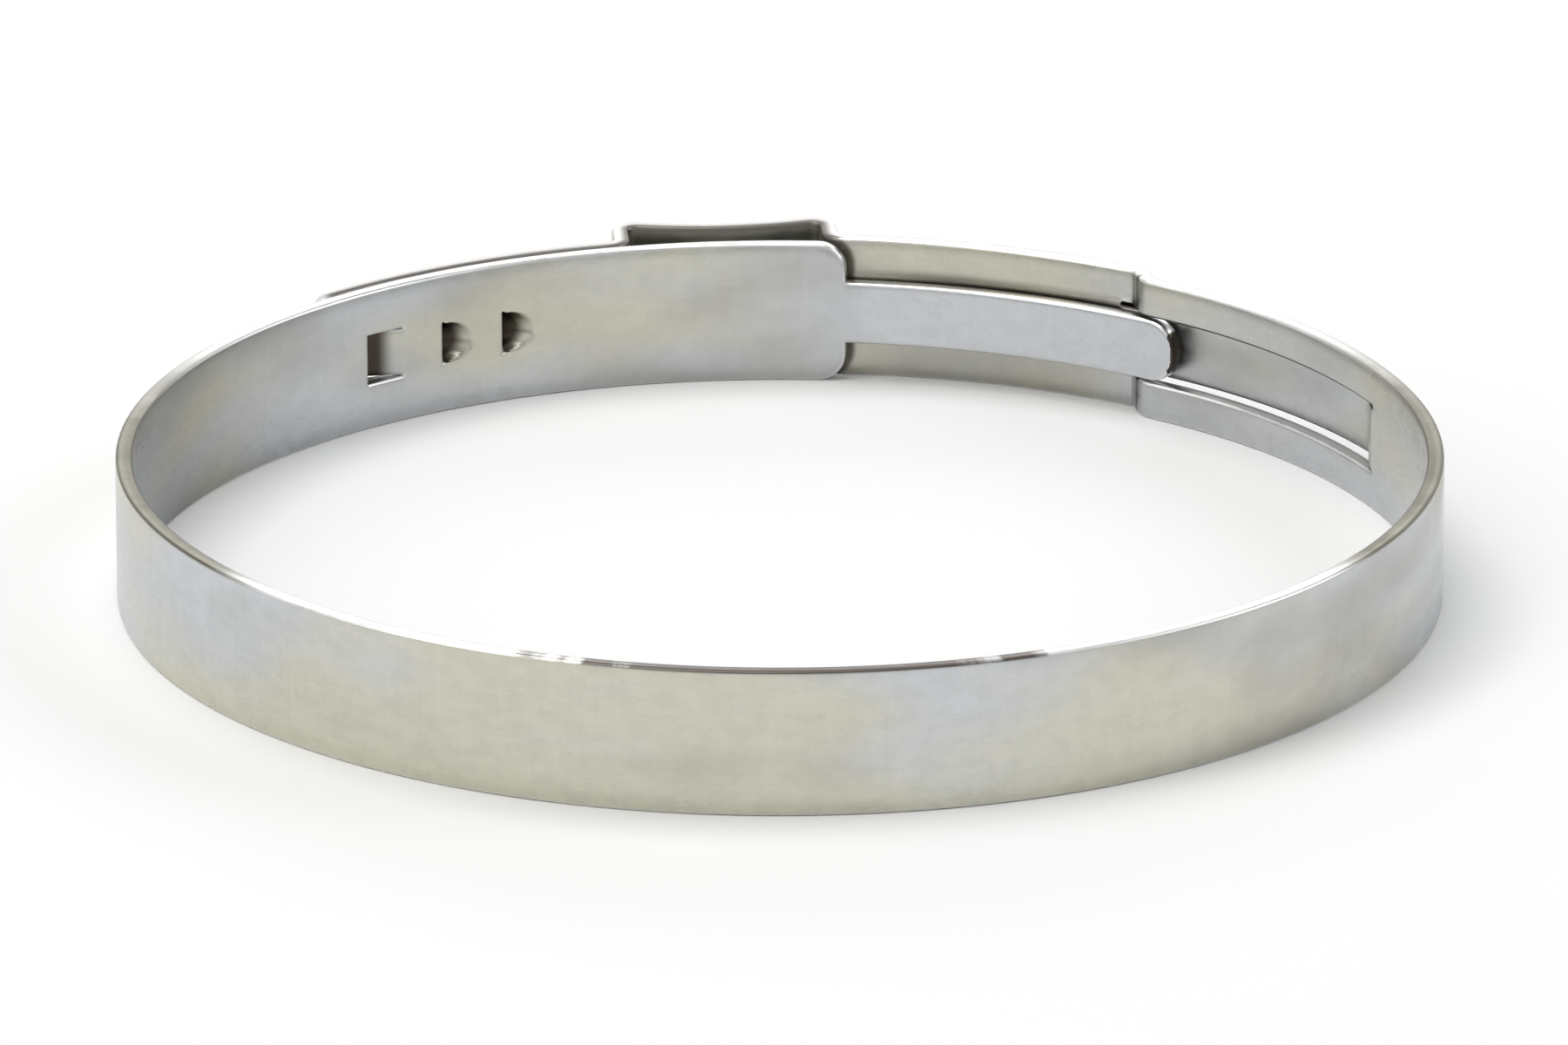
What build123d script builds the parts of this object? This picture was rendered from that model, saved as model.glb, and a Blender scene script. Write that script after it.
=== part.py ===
"""Stepless one-ear hose clamp, formed from a single stainless strip.

Frame: millimetres, Z is the axis of the ring and points up, the ring stands on
its lower edge at z = 0, and the ear is centred on +Y.

Places along the strip are arc lengths on the bore, measured from the middle of
the ear and positive towards +X. A level is the radius of the face that looks at
the axis. The inner layer lies on the hose. The outer layer runs over its hooks
on the -X side of the ear and over its tongue on the +X side.
"""

import os
from math import atan2, cos, degrees, pi, radians, sin, tan

from build123d import *

# Strip and ring
BORE_DIAMETER = 61.0
STRIP_WIDTH = 7.0
STRIP_THICKNESS = 0.8
EDGE_BREAK = 0.18
END_CORNER_RADIUS = 1.35

# Gaps between the two layers, over the hooks and over the tongue
HOOK_LAYER_GAP = 0.05
TONGUE_LAYER_GAP = 0.25

# Ear, and the stiffening bead pressed into its top
EAR_WIDTH = 11.0
EAR_RISE = 2.9
EAR_SADDLE = 1.0
EAR_SHOULDER_BEND = 0.4
EAR_FOOT_BEND = 0.45
BEAD_RADIUS = 2.2
BEAD_DEPTH = 0.9
BEAD_END_INSET = 3.4
BEAD_RIM_BLEND = 0.4

# Inner end of the strip: full width up to its shoulder, then the tongue
SHOULDER_PLACE = 5.7
TONGUE_TIP = 23.0
TONGUE_WIDTH = 3.1
TONGUE_TIP_FLAT = 0.3

# Channel for the tongue: the two side strips step in before its floor does
STEP_PLACE = 20.6
FLOOR_STEP_PLACE = 37.5
STEP_ANGLE = 42.0
STEP_BEND = 0.35
TONGUE_SIDE_CLEARANCE = 0.08
SLIT_GAP = 0.04
SLIT_OVERRUN = 0.26

# Cold-formed hooks: half domes that open at a sheared load face on the side away from the ear
HOOK_LOAD_FACES = (-14.7, -11.4)
HOOK_LENGTH = 1.65
HOOK_POCKET_WIDTH = 2.05
HOOK_POCKET_DEPTH = 1.35
HOOK_WALL = 0.55

# Guide hook: a tab lanced on three sides and bent outward at its hinge
TAB_HINGE = -17.05
TAB_LENGTH = 2.05
TAB_WIDTH = 2.35
TAB_LIFT = 1.15
TAB_SLIT = 0.05

# Outer end of the strip, with one window for each hook
WINDOW_CLEARANCE = 0.12
WINDOW_RELEASE = 0.5
WINDOW_CORNER_RADIUS = 0.4
OUTER_END = -21.6

# The two ends of the strip are formed apart and meet in the plain part of the ring
SEAM_PLACE = 60.0

# Derived sizes
INNER_LEVEL = BORE_DIAMETER / 2
HOOK_SIDE_LEVEL = INNER_LEVEL + STRIP_THICKNESS + HOOK_LAYER_GAP
TONGUE_SIDE_LEVEL = INNER_LEVEL + STRIP_THICKNESS + TONGUE_LAYER_GAP
BORE_CIRCUMFERENCE = pi * BORE_DIAMETER
MID_WIDTH = STRIP_WIDTH / 2
EAR_TOP = HOOK_SIDE_LEVEL + STRIP_THICKNESS + EAR_RISE
SADDLE_BOTTOM = EAR_TOP - EAR_SADDLE
EAR_INSIDE_WIDTH = EAR_WIDTH - 2 * STRIP_THICKNESS
BEAD_STRAIGHT = EAR_INSIDE_WIDTH - 2 * BEAD_END_INSET
TONGUE_TIP_RADIUS = (TONGUE_WIDTH - TONGUE_TIP_FLAT) / 2
FLOOR_WIDTH = TONGUE_WIDTH + 2 * TONGUE_SIDE_CLEARANCE
STEP_HALF_RUN = (TONGUE_SIDE_LEVEL - INNER_LEVEL) / tan(radians(STEP_ANGLE)) / 2
STEP_LEAN = STRIP_THICKNESS * tan(radians(STEP_ANGLE / 2))
SLOT_START = STEP_PLACE - STEP_HALF_RUN - STEP_LEAN - SLIT_OVERRUN
SLOT_END = FLOOR_STEP_PLACE + STEP_HALF_RUN + STEP_LEAN + SLIT_OVERRUN
NEGLIGIBLE = 1e-4


def turn_of(place):
    """Turn in degrees, clockwise from +Y, of a place along the strip."""
    return degrees(place / INNER_LEVEL)


def station(place):
    """Frame on the bore at mid width: x runs along the strip and y points outward."""
    return Rot(0, 0, -turn_of(place)) * Pos(0, INNER_LEVEL, MID_WIDTH)


def ring_arc(level, start, end):
    """Plan arc on a level between two places."""
    return CenterArc((0, 0), level, 90 - turn_of(start), turn_of(start) - turn_of(end))


def layer_plan(level, start, end, thickness=STRIP_THICKNESS):
    """Plan of a stretch of strip that keeps to one level."""
    inner = ring_arc(level, start, end)
    outer = ring_arc(level + thickness, start, end)
    return make_face([inner, outer, Line(inner @ 0, outer @ 0), Line(inner @ 1, outer @ 1)])


def round_corners(plan, corners, radius):
    """Round the vertices of a plan that lie nearest to the given corners."""
    chosen = [plan.vertices().sort_by_distance(corner)[0] for corner in corners]
    return fillet(chosen, radius)


def stepped_plan(start, step, end):
    """Plan of strip that runs over the tongue and steps in to the inner level."""
    faces = []
    for rise, lean in ((0, 0), (STRIP_THICKNESS, STEP_LEAN)):
        high = ring_arc(TONGUE_SIDE_LEVEL + rise, start, step - STEP_HALF_RUN + lean)
        low = ring_arc(INNER_LEVEL + rise, step + STEP_HALF_RUN + lean, end)
        faces.append((high, Line(high @ 1, low @ 0), low))
    bore_side, back_side = faces
    ends = [Line(bore_side[0] @ 0, back_side[0] @ 0), Line(bore_side[2] @ 1, back_side[2] @ 1)]
    plan = make_face([*bore_side, *back_side, *ends])
    plan = round_corners(plan, (bore_side[1] @ 0, back_side[1] @ 1), STEP_BEND)
    return round_corners(plan, (back_side[1] @ 0, bore_side[1] @ 1), STEP_BEND + STRIP_THICKNESS)


def under_saddle(width, depth):
    """Plan of the room between the legs of the ear, up to a depth below its saddle."""
    half = EAR_WIDTH / 2
    radius = (half**2 + EAR_SADDLE**2) / (2 * EAR_SADDLE)
    bottom = INNER_LEVEL - EAR_RISE
    room = Pos(0, (bottom + EAR_TOP) / 2) * Rectangle(width, EAR_TOP - bottom)
    return room - Pos(0, SADDLE_BOTTOM + radius) * Circle(radius + depth)


def round_ear_side(plan, side, level):
    """Round the shoulder and the foot of the ear on one side of it."""
    outside = side * EAR_WIDTH / 2
    inside = side * EAR_INSIDE_WIDTH / 2
    foot_outside = (outside, ((level + STRIP_THICKNESS) ** 2 - outside**2) ** 0.5)
    foot_inside = (inside, (level**2 - inside**2) ** 0.5)
    roof_inside = (inside, EAR_TOP - STRIP_THICKNESS)
    plan = round_corners(plan, [(outside, EAR_TOP)], EAR_SHOULDER_BEND + STRIP_THICKNESS)
    plan = round_corners(plan, [roof_inside], EAR_SHOULDER_BEND)
    plan = round_corners(plan, [foot_outside], EAR_FOOT_BEND)
    return round_corners(plan, [foot_inside], EAR_FOOT_BEND + STRIP_THICKNESS)


def outer_end_plan():
    """Plan of the outer end: inner layer, step, outer layer and ear."""
    leg_bottom = max(HOOK_SIDE_LEVEL, TONGUE_SIDE_LEVEL) + STRIP_THICKNESS / 4
    plan = stepped_plan(0, STEP_PLACE, SEAM_PLACE) + layer_plan(HOOK_SIDE_LEVEL, OUTER_END, 0)
    plan += under_saddle(EAR_WIDTH, 0) - Circle(leg_bottom)
    plan -= under_saddle(EAR_INSIDE_WIDTH, STRIP_THICKNESS)
    plan = round_ear_side(plan, -1, HOOK_SIDE_LEVEL)
    return round_ear_side(plan, 1, TONGUE_SIDE_LEVEL)


def is_on_rim(edge):
    """Tell whether an edge lies in the top or the bottom side of the strip."""
    return abs(abs(edge.center().Z - MID_WIDTH) - MID_WIDTH) < NEGLIGIBLE


def is_end_of_rim(edge, place):
    """Tell whether an edge crosses the rim at the end of the strip at a place."""
    is_across = is_on_rim(edge) and edge.geom_type == GeomType.LINE
    return is_across and (edge.center() - station(place).position).length < STRIP_WIDTH


def raised_strip(plan, end_place):
    """Strip raised from its plan, with round corners at its free end and its edges broken."""
    strip = extrude(plan, STRIP_WIDTH)
    corners = [edge for edge in strip.edges() if is_end_of_rim(edge, end_place)]
    strip = fillet(corners, END_CORNER_RADIUS)
    rim = [edge for edge in strip.edges() if is_on_rim(edge)]
    return chamfer([edge for edge in rim if not is_end_of_rim(edge, SEAM_PLACE)], EDGE_BREAK)


def bead_bar(radius):
    """Round-ended bar that lies along the ear, with the bead at its lower side."""
    length = BEAD_STRAIGHT + 2 * radius
    outline = SlotCenterToCenter(BEAD_STRAIGHT, 2 * radius)
    bar = revolve(outline & Pos(0, radius / 2) * Rectangle(length, radius), Axis.X)
    return Pos(0, SADDLE_BOTTOM + BEAD_RADIUS - BEAD_DEPTH, MID_WIDTH) * bar


def press_bead(strip):
    """Press the bead into the top of the ear, at the full thickness of the strip."""
    mid_roof = SADDLE_BOTTOM - STRIP_THICKNESS / 3
    below_roof = Pos(0, mid_roof - EAR_RISE / 2, MID_WIDTH) * Box(EAR_WIDTH, EAR_RISE, STRIP_WIDTH)
    strip = strip + (bead_bar(BEAD_RADIUS + STRIP_THICKNESS) & below_roof) - bead_bar(BEAD_RADIUS)
    above_feet = strip.edges().filter_by_position(Axis.Y, HOOK_SIDE_LEVEL + STRIP_THICKNESS, EAR_TOP)
    between_legs = EAR_INSIDE_WIDTH / 2
    rims = above_feet.filter_by_position(Axis.X, -between_legs, between_legs).filter_by(GeomType.BSPLINE)
    return fillet(rims, BEAD_RIM_BLEND)


def channel_slot():
    """Cutter that frees the floor of the channel from its two side strips."""
    plan = layer_plan(INNER_LEVEL - STRIP_THICKNESS, SLOT_START, SLOT_END, 4 * STRIP_THICKNESS)
    width = FLOOR_WIDTH + 2 * SLIT_GAP
    return Pos(0, 0, MID_WIDTH - width / 2) * extrude(plan, width)


def channel_floor():
    """Floor of the channel, joined to the strip at both ends of the slot."""
    plan = stepped_plan(SLOT_START - STRIP_THICKNESS, FLOOR_STEP_PLACE, SLOT_END + STRIP_THICKNESS)
    return Pos(0, 0, MID_WIDTH - FLOOR_WIDTH / 2) * extrude(plan, FLOOR_WIDTH)


def window(load_face, hook_length, hook_width):
    """Cutter for the window over a hook, with room to release the hook."""
    length = hook_length + WINDOW_CLEARANCE + WINDOW_RELEASE
    depth = 4 * STRIP_THICKNESS
    cutter = Box(length, depth, hook_width + 2 * WINDOW_CLEARANCE)
    cutter = fillet(cutter.edges().filter_by(Axis.Y), WINDOW_CORNER_RADIUS)
    return station(load_face) * Pos(length / 2 - WINDOW_CLEARANCE, depth / 2, 0) * cutter


def outer_end():
    """Outer end of the strip: channel, step, ear with its bead, and windows."""
    strip = press_bead(raised_strip(outer_end_plan(), OUTER_END))
    strip = strip - channel_slot() + channel_floor()
    strip -= window(TAB_HINGE - TAB_LENGTH, TAB_LENGTH, TAB_WIDTH)
    for load_face in HOOK_LOAD_FACES:
        strip -= window(load_face, HOOK_LENGTH, HOOK_POCKET_WIDTH + 2 * HOOK_WALL)
    return strip


def hook_bar(radius, clear_of_bore):
    """Bar that slopes out of the strip up to the load face, in the frame of that face."""
    slope = atan2(HOOK_POCKET_DEPTH, HOOK_LENGTH)
    pocket_radius = HOOK_POCKET_WIDTH / 2
    foot = (-pocket_radius * sin(slope), HOOK_POCKET_DEPTH - pocket_radius * cos(slope), 0)
    lengthwise = Plane(origin=foot, z_dir=(cos(slope), -sin(slope), 0))
    bar = lengthwise.location * Cylinder(radius, 6 * HOOK_LENGTH)
    reach = 2 * (HOOK_LENGTH + radius)
    return bar & Pos(reach / 2, clear_of_bore + reach / 2, 0) * Box(reach, reach, reach)


def form_hook(strip, load_face):
    """Push a half dome out of the inner layer and open it at its load face."""
    pocket_radius = HOOK_POCKET_WIDTH / 2
    dome = hook_bar(pocket_radius + HOOK_WALL, STRIP_THICKNESS / 3)
    pocket = hook_bar(pocket_radius, -STRIP_THICKNESS)
    return strip + station(load_face) * dome - station(load_face) * pocket


def form_guide_hook(strip):
    """Lance the guide hook on three sides and bend it outward at its hinge."""
    slope = atan2(TAB_LIFT, TAB_LENGTH)
    along = Vector(-cos(slope), sin(slope))
    through = Vector(sin(slope), cos(slope)) * STRIP_THICKNESS
    tip = along * TAB_LENGTH
    root = through - along * (STRIP_THICKNESS / tan(slope) / 2)
    plan = make_face(Polyline((0, 0), tip, tip + through, root, close=True))
    tab = extrude(plan, TAB_WIDTH / 2, both=True)
    length = TAB_LENGTH + TAB_SLIT
    lance = Pos(-length / 2, 0, 0) * Box(length, 4 * STRIP_THICKNESS, TAB_WIDTH + 2 * TAB_SLIT)
    return strip - station(TAB_HINGE) * lance + station(TAB_HINGE) * tab


def tongue():
    """Tongue that slides in the channel, with its round tip."""
    plan = layer_plan(INNER_LEVEL, SHOULDER_PLACE - STRIP_THICKNESS, TONGUE_TIP)
    blade = Pos(0, 0, MID_WIDTH - TONGUE_WIDTH / 2) * extrude(plan, TONGUE_WIDTH)
    tip = station(TONGUE_TIP).position
    across = blade.edges().filter_by(GeomType.LINE).filter_by(Axis.Z, reverse=True)
    corners = [edge for edge in across if (edge.center() - tip).length < TONGUE_WIDTH]
    return fillet(corners, TONGUE_TIP_RADIUS)


def inner_end():
    """Inner end of the strip: plain ring, hooks, shoulder and tongue."""
    plan = layer_plan(INNER_LEVEL, SEAM_PLACE - BORE_CIRCUMFERENCE, SHOULDER_PLACE)
    strip = form_guide_hook(raised_strip(plan, SHOULDER_PLACE))
    for load_face in HOOK_LOAD_FACES:
        strip = form_hook(strip, load_face)
    return strip + tongue()


def clamp_band():
    """The whole clamp: one strip whose two ends overlap under the ear."""
    return outer_end() + inner_end()


if __name__ == "__main__":
    os.makedirs("parts", exist_ok=True)
    export_step(clamp_band(), "parts/clamp_band.step")
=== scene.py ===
"""Looks of a stepless one-ear hose clamp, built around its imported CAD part."""

import logging
import math
from dataclasses import dataclass, field
from enum import Enum

import bpy
import numpy as np
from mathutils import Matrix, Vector


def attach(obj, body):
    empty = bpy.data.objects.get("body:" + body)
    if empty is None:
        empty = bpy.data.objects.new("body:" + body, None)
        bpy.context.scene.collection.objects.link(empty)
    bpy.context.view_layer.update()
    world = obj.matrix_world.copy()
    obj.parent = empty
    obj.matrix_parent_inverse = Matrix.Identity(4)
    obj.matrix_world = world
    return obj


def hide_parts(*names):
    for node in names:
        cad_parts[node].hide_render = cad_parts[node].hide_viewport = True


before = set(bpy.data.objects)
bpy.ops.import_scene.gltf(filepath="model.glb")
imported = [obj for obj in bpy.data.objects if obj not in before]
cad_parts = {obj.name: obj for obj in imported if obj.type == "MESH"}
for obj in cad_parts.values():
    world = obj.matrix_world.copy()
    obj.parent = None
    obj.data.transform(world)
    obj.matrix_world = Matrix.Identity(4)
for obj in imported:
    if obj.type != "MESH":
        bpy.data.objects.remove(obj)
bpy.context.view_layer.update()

log = logging.getLogger("hose_clamp")
SHEET_WIDTH = 1800
SHEET_HEIGHT = 1200
MM = 0.001
MAP_UNIT = 10
SMALLEST_RUN = 1e-12
NOISE_ROUGHNESS = 0.55
MIX_FIRST_COLOUR = 6
MIX_SECOND_COLOUR = 7
MIX_COLOUR_RESULT = 2


class Region(Enum):
    """Bands of rows across the width of the strip, from its lower to its upper edge."""

    LOWER_SIDE = "lower_side"
    LOWER_SLIT = "lower_slit"
    MIDDLE = "middle"
    UPPER_SLIT = "upper_slit"
    UPPER_SIDE = "upper_side"


@dataclass(frozen=True)
class StripSizes:
    """Sizes of the strip and of the ring it is rolled into, in millimetres."""

    bore_radius: float = 30.5
    width: float = 7.0
    thickness: float = 0.8
    edge_radius: float = 0.18
    end_corner_radius: float = 1.35
    hook_side_level: float = 31.35
    tongue_side_level: float = 31.55
    outer_end: float = -21.6
    shoulder: float = 5.7

    @property
    def circumference(self) -> float:
        """Length once round the bore."""
        return 2 * math.pi * self.bore_radius

    @property
    def middle(self) -> float:
        """Height of the middle line of the strip."""
        return self.width / 2


@dataclass(frozen=True)
class EarSizes:
    """Sizes of the ear, in millimetres."""

    outside_width: float = 11.0
    inside_width: float = 9.4
    top: float = 35.05
    saddle: float = 1.0
    shoulder_bend: float = 0.4
    foot_bend: float = 0.45
    bead_radius: float = 2.2
    bead_depth: float = 0.9
    bead_straight: float = 2.6
    bead_softness: float = 0.22


@dataclass(frozen=True)
class TongueSizes:
    """Sizes of the tongue and of the channel it slides in, in millimetres."""

    tip: float = 23.0
    half_width: float = 1.55
    tip_radius: float = 1.4
    step: float = 20.6
    floor_step: float = 37.5
    step_half_run: float = 0.583
    step_bend: float = 0.35
    slot_start: float = 19.45
    slot_end: float = 38.65
    floor_half_width: float = 1.63
    slit: float = 0.04


@dataclass(frozen=True)
class HookSizes:
    """Sizes of the two load hooks and of the guide hook, in millimetres."""

    load_faces: tuple = (-14.7, -11.4)
    length: float = 1.65
    pocket_half_width: float = 1.025
    pocket_depth: float = 1.35
    shear: float = 0.02
    softness: float = 0.12
    window_half_width: float = 1.695
    guide_hinge: float = -17.05
    guide_length: float = 2.05
    guide_half_width: float = 1.175
    guide_lift: float = 1.15
    guide_slit: float = 0.05
    guide_window_half_width: float = 1.295
    window_clearance: float = 0.12
    window_release: float = 0.5
    window_corner: float = 0.4
    guide_softness: float = 0.12
    pocket_wall_slope: float = 5.0


@dataclass(frozen=True)
class GridSizes:
    """Spacing of the grid that the blank is laid out on, in millimetres, radians or plain shares."""

    pitch: float = 0.9
    turn: float = math.radians(7.6)
    clear_of_exact: float = 0.05
    smallest_step: float = 0.002
    tolerance: float = 0.001
    decimals: int = 4
    rim_shares: tuple = (0.0, 0.134, 0.5, 1.0)
    closed_slit: float = 0.06
    least_side: float = 0.05
    least_slit: float = 0.015
    side_room: float = 2.2
    middle_room: float = 2.5
    shoulder_lead: float = 0.6
    shoulder_tail: float = 0.3
    window_lead: float = 0.5
    hook_lead: float = 0.5
    hook_row_lead: float = 0.4
    hook_row_tail: float = 0.2
    pocket_tail: float = 0.15
    pocket_margin: float = 0.4
    pocket_side_margin: float = 0.3
    hinge_reach: float = 0.3
    hinge_margin: float = 0.35
    guide_lead: float = 0.6
    step_reach: float = 0.5
    bead_reach: float = 2.3


@dataclass(frozen=True)
class PaintedShades:
    """How dark the painted shade is in the pockets, on the slit edges and at the step, and how far each shade
    reaches.
    """

    guide: float = 1.05
    guide_middle: float = -1.1
    guide_reach: float = 1.6
    slit: float = 0.6
    slit_from: float = 0.4
    slot_margin: float = 0.1
    start_reach: float = 1.6
    tip_reach: float = 0.35
    step: float = 0.4
    step_spread: float = 0.32
    step_far: float = 2.0
    inner_layer_margin: float = 0.5


def ring_points(
    level: float, start: float, end: float, bore_radius: float, pitch: float = 0.25
) -> np.ndarray:
    """Lay points on a circle between two places.

    Args:
        level: radius of the circle.
        start: place of the first point, as a length on the bore, clockwise from the ear.
        end: place of the last point.
        bore_radius: radius that turns a place into an angle.
        pitch: largest distance between two points.

    Returns:
        One row of x and y per point.
    """
    count = max(2, math.ceil(abs(end - start) / pitch) + 1)
    turn = np.linspace(start, end, count) / bore_radius
    return np.stack([level * np.sin(turn), level * np.cos(turn)], axis=1)


class PlanPath:
    """Path of the bore side of the strip in plan, as a polyline that gets its bends one by one."""

    def __init__(self) -> None:
        """Start with no points."""
        self.points = np.zeros((0, 2))
        self.corners: list[tuple[int, float]] = []

    def add(self, points: np.ndarray, corner_radius: float = 0.0) -> None:
        """Add a stretch.

        Args:
            points: the points of the stretch.
            corner_radius: radius of the bend where the stretch begins, or 0 for none.
        """
        if corner_radius:
            self.corners.append((len(self.points) - 1, corner_radius))
        skip = 1 if len(self.points) else 0
        self.points = np.concatenate([self.points, points[skip:]])

    def bend_corners(self) -> None:
        """Replace each marked corner by a smooth bend, from the last one to the first."""
        for index, radius in reversed(self.corners):
            self._bend(index, radius)
        self.corners = []

    def _bend(self, index: int, radius: float) -> None:
        """Replace one corner by a curve that keeps the directions on its two sides.

        Args:
            index: number of the corner's point.
            radius: radius of the bend.
        """
        before, corner, after = self.points[index - 1], self.points[index], self.points[index + 1]
        into = (corner - before) / np.linalg.norm(corner - before)
        out = (after - corner) / np.linalg.norm(after - corner)
        turn = math.acos(float(np.clip(into @ out, -1, 1)))
        reach = radius * math.tan(turn / 2)
        travel = self.travels()
        start, end = travel[index] - reach, travel[index] + reach
        first, last = self.at(np.array([start, end]))
        handle = 4 / 3 * math.tan(turn / 4) * radius
        leave = self.direction(start)
        arrive = self.direction(end)
        share = np.linspace(0, 1, 13)[:, None]
        knots = (first, first + leave * handle, last - arrive * handle, last)
        weights = ((1 - share) ** 3, 3 * share * (1 - share) ** 2, 3 * share**2 * (1 - share), share**3)
        curve = sum(weight * knot for weight, knot in zip(weights, knots))
        head = self.points[travel < start - 1e-6]
        tail = self.points[travel > end + 1e-6]
        self.points = np.concatenate([head, curve, tail])

    def travels(self) -> np.ndarray:
        """Length along the path up to each point."""
        steps = np.linalg.norm(np.diff(self.points, axis=0), axis=1)
        return np.concatenate([[0.0], np.cumsum(steps)])

    def at(self, travel: np.ndarray) -> np.ndarray:
        """Points at given lengths along the path."""
        known = self.travels()
        return np.stack([np.interp(travel, known, self.points[:, axis]) for axis in (0, 1)], axis=1)

    def direction(self, travel: float, reach: float = 0.01) -> np.ndarray:
        """Direction of the path at one length, read over a short reach."""
        first, last = self.at(np.array([travel - reach, travel + reach]))
        return (last - first) / np.linalg.norm(last - first)

    def travel_to(self, point: tuple[float, float]) -> float:
        """Find the place of the path nearest to a point.

        Args:
            point: x and y of the point.

        Returns:
            The length along the path up to that place.
        """
        starts, ends = self.points[:-1], self.points[1:]
        runs = ends - starts
        share = np.einsum("ij,ij->i", np.array(point) - starts, runs) / np.einsum("ij,ij->i", runs, runs)
        share = np.clip(share, 0, 1)
        gaps = np.linalg.norm(starts + runs * share[:, None] - np.array(point), axis=1)
        best = int(np.argmin(gaps))
        return float(self.travels()[best] + share[best] * np.linalg.norm(runs[best]))

    def stations(self, pitch: float, turn: float) -> np.ndarray:
        """Lengths that are dense where the path bends.

        Args:
            pitch: largest distance between two stations.
            turn: largest change of direction between two stations, in radians.

        Returns:
            The stations, from the start to the end of the path.
        """
        travel = self.travels()
        runs = np.diff(self.points, axis=0)
        heading = np.unwrap(np.arctan2(runs[:, 1], runs[:, 0]))
        chosen = [0.0]
        last = 0
        for index in range(1, len(travel) - 1):
            if travel[index] - chosen[-1] >= pitch or abs(heading[index] - heading[last]) >= turn:
                chosen.append(float(travel[index]))
                last = index
        return np.array([*chosen, travel[-1]])

    def as_curve(self, name: str) -> bpy.types.Object:
        """Make the path a curve object in metres.

        Args:
            name: name of the new object.

        Returns:
            The curve, with one straight stretch between two points.
        """
        data = bpy.data.curves.new(name, "CURVE")
        data.dimensions = "3D"
        spline = data.splines.new("POLY")
        spline.points.add(len(self.points) - 1)
        places = np.pad(self.points * MM, ((0, 0), (0, 2)))
        places[:, 3] = 1.0
        spline.points.foreach_set("co", places.ravel())
        holder = bpy.data.objects.new(name, data)
        bpy.context.scene.collection.objects.link(holder)
        return holder


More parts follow.
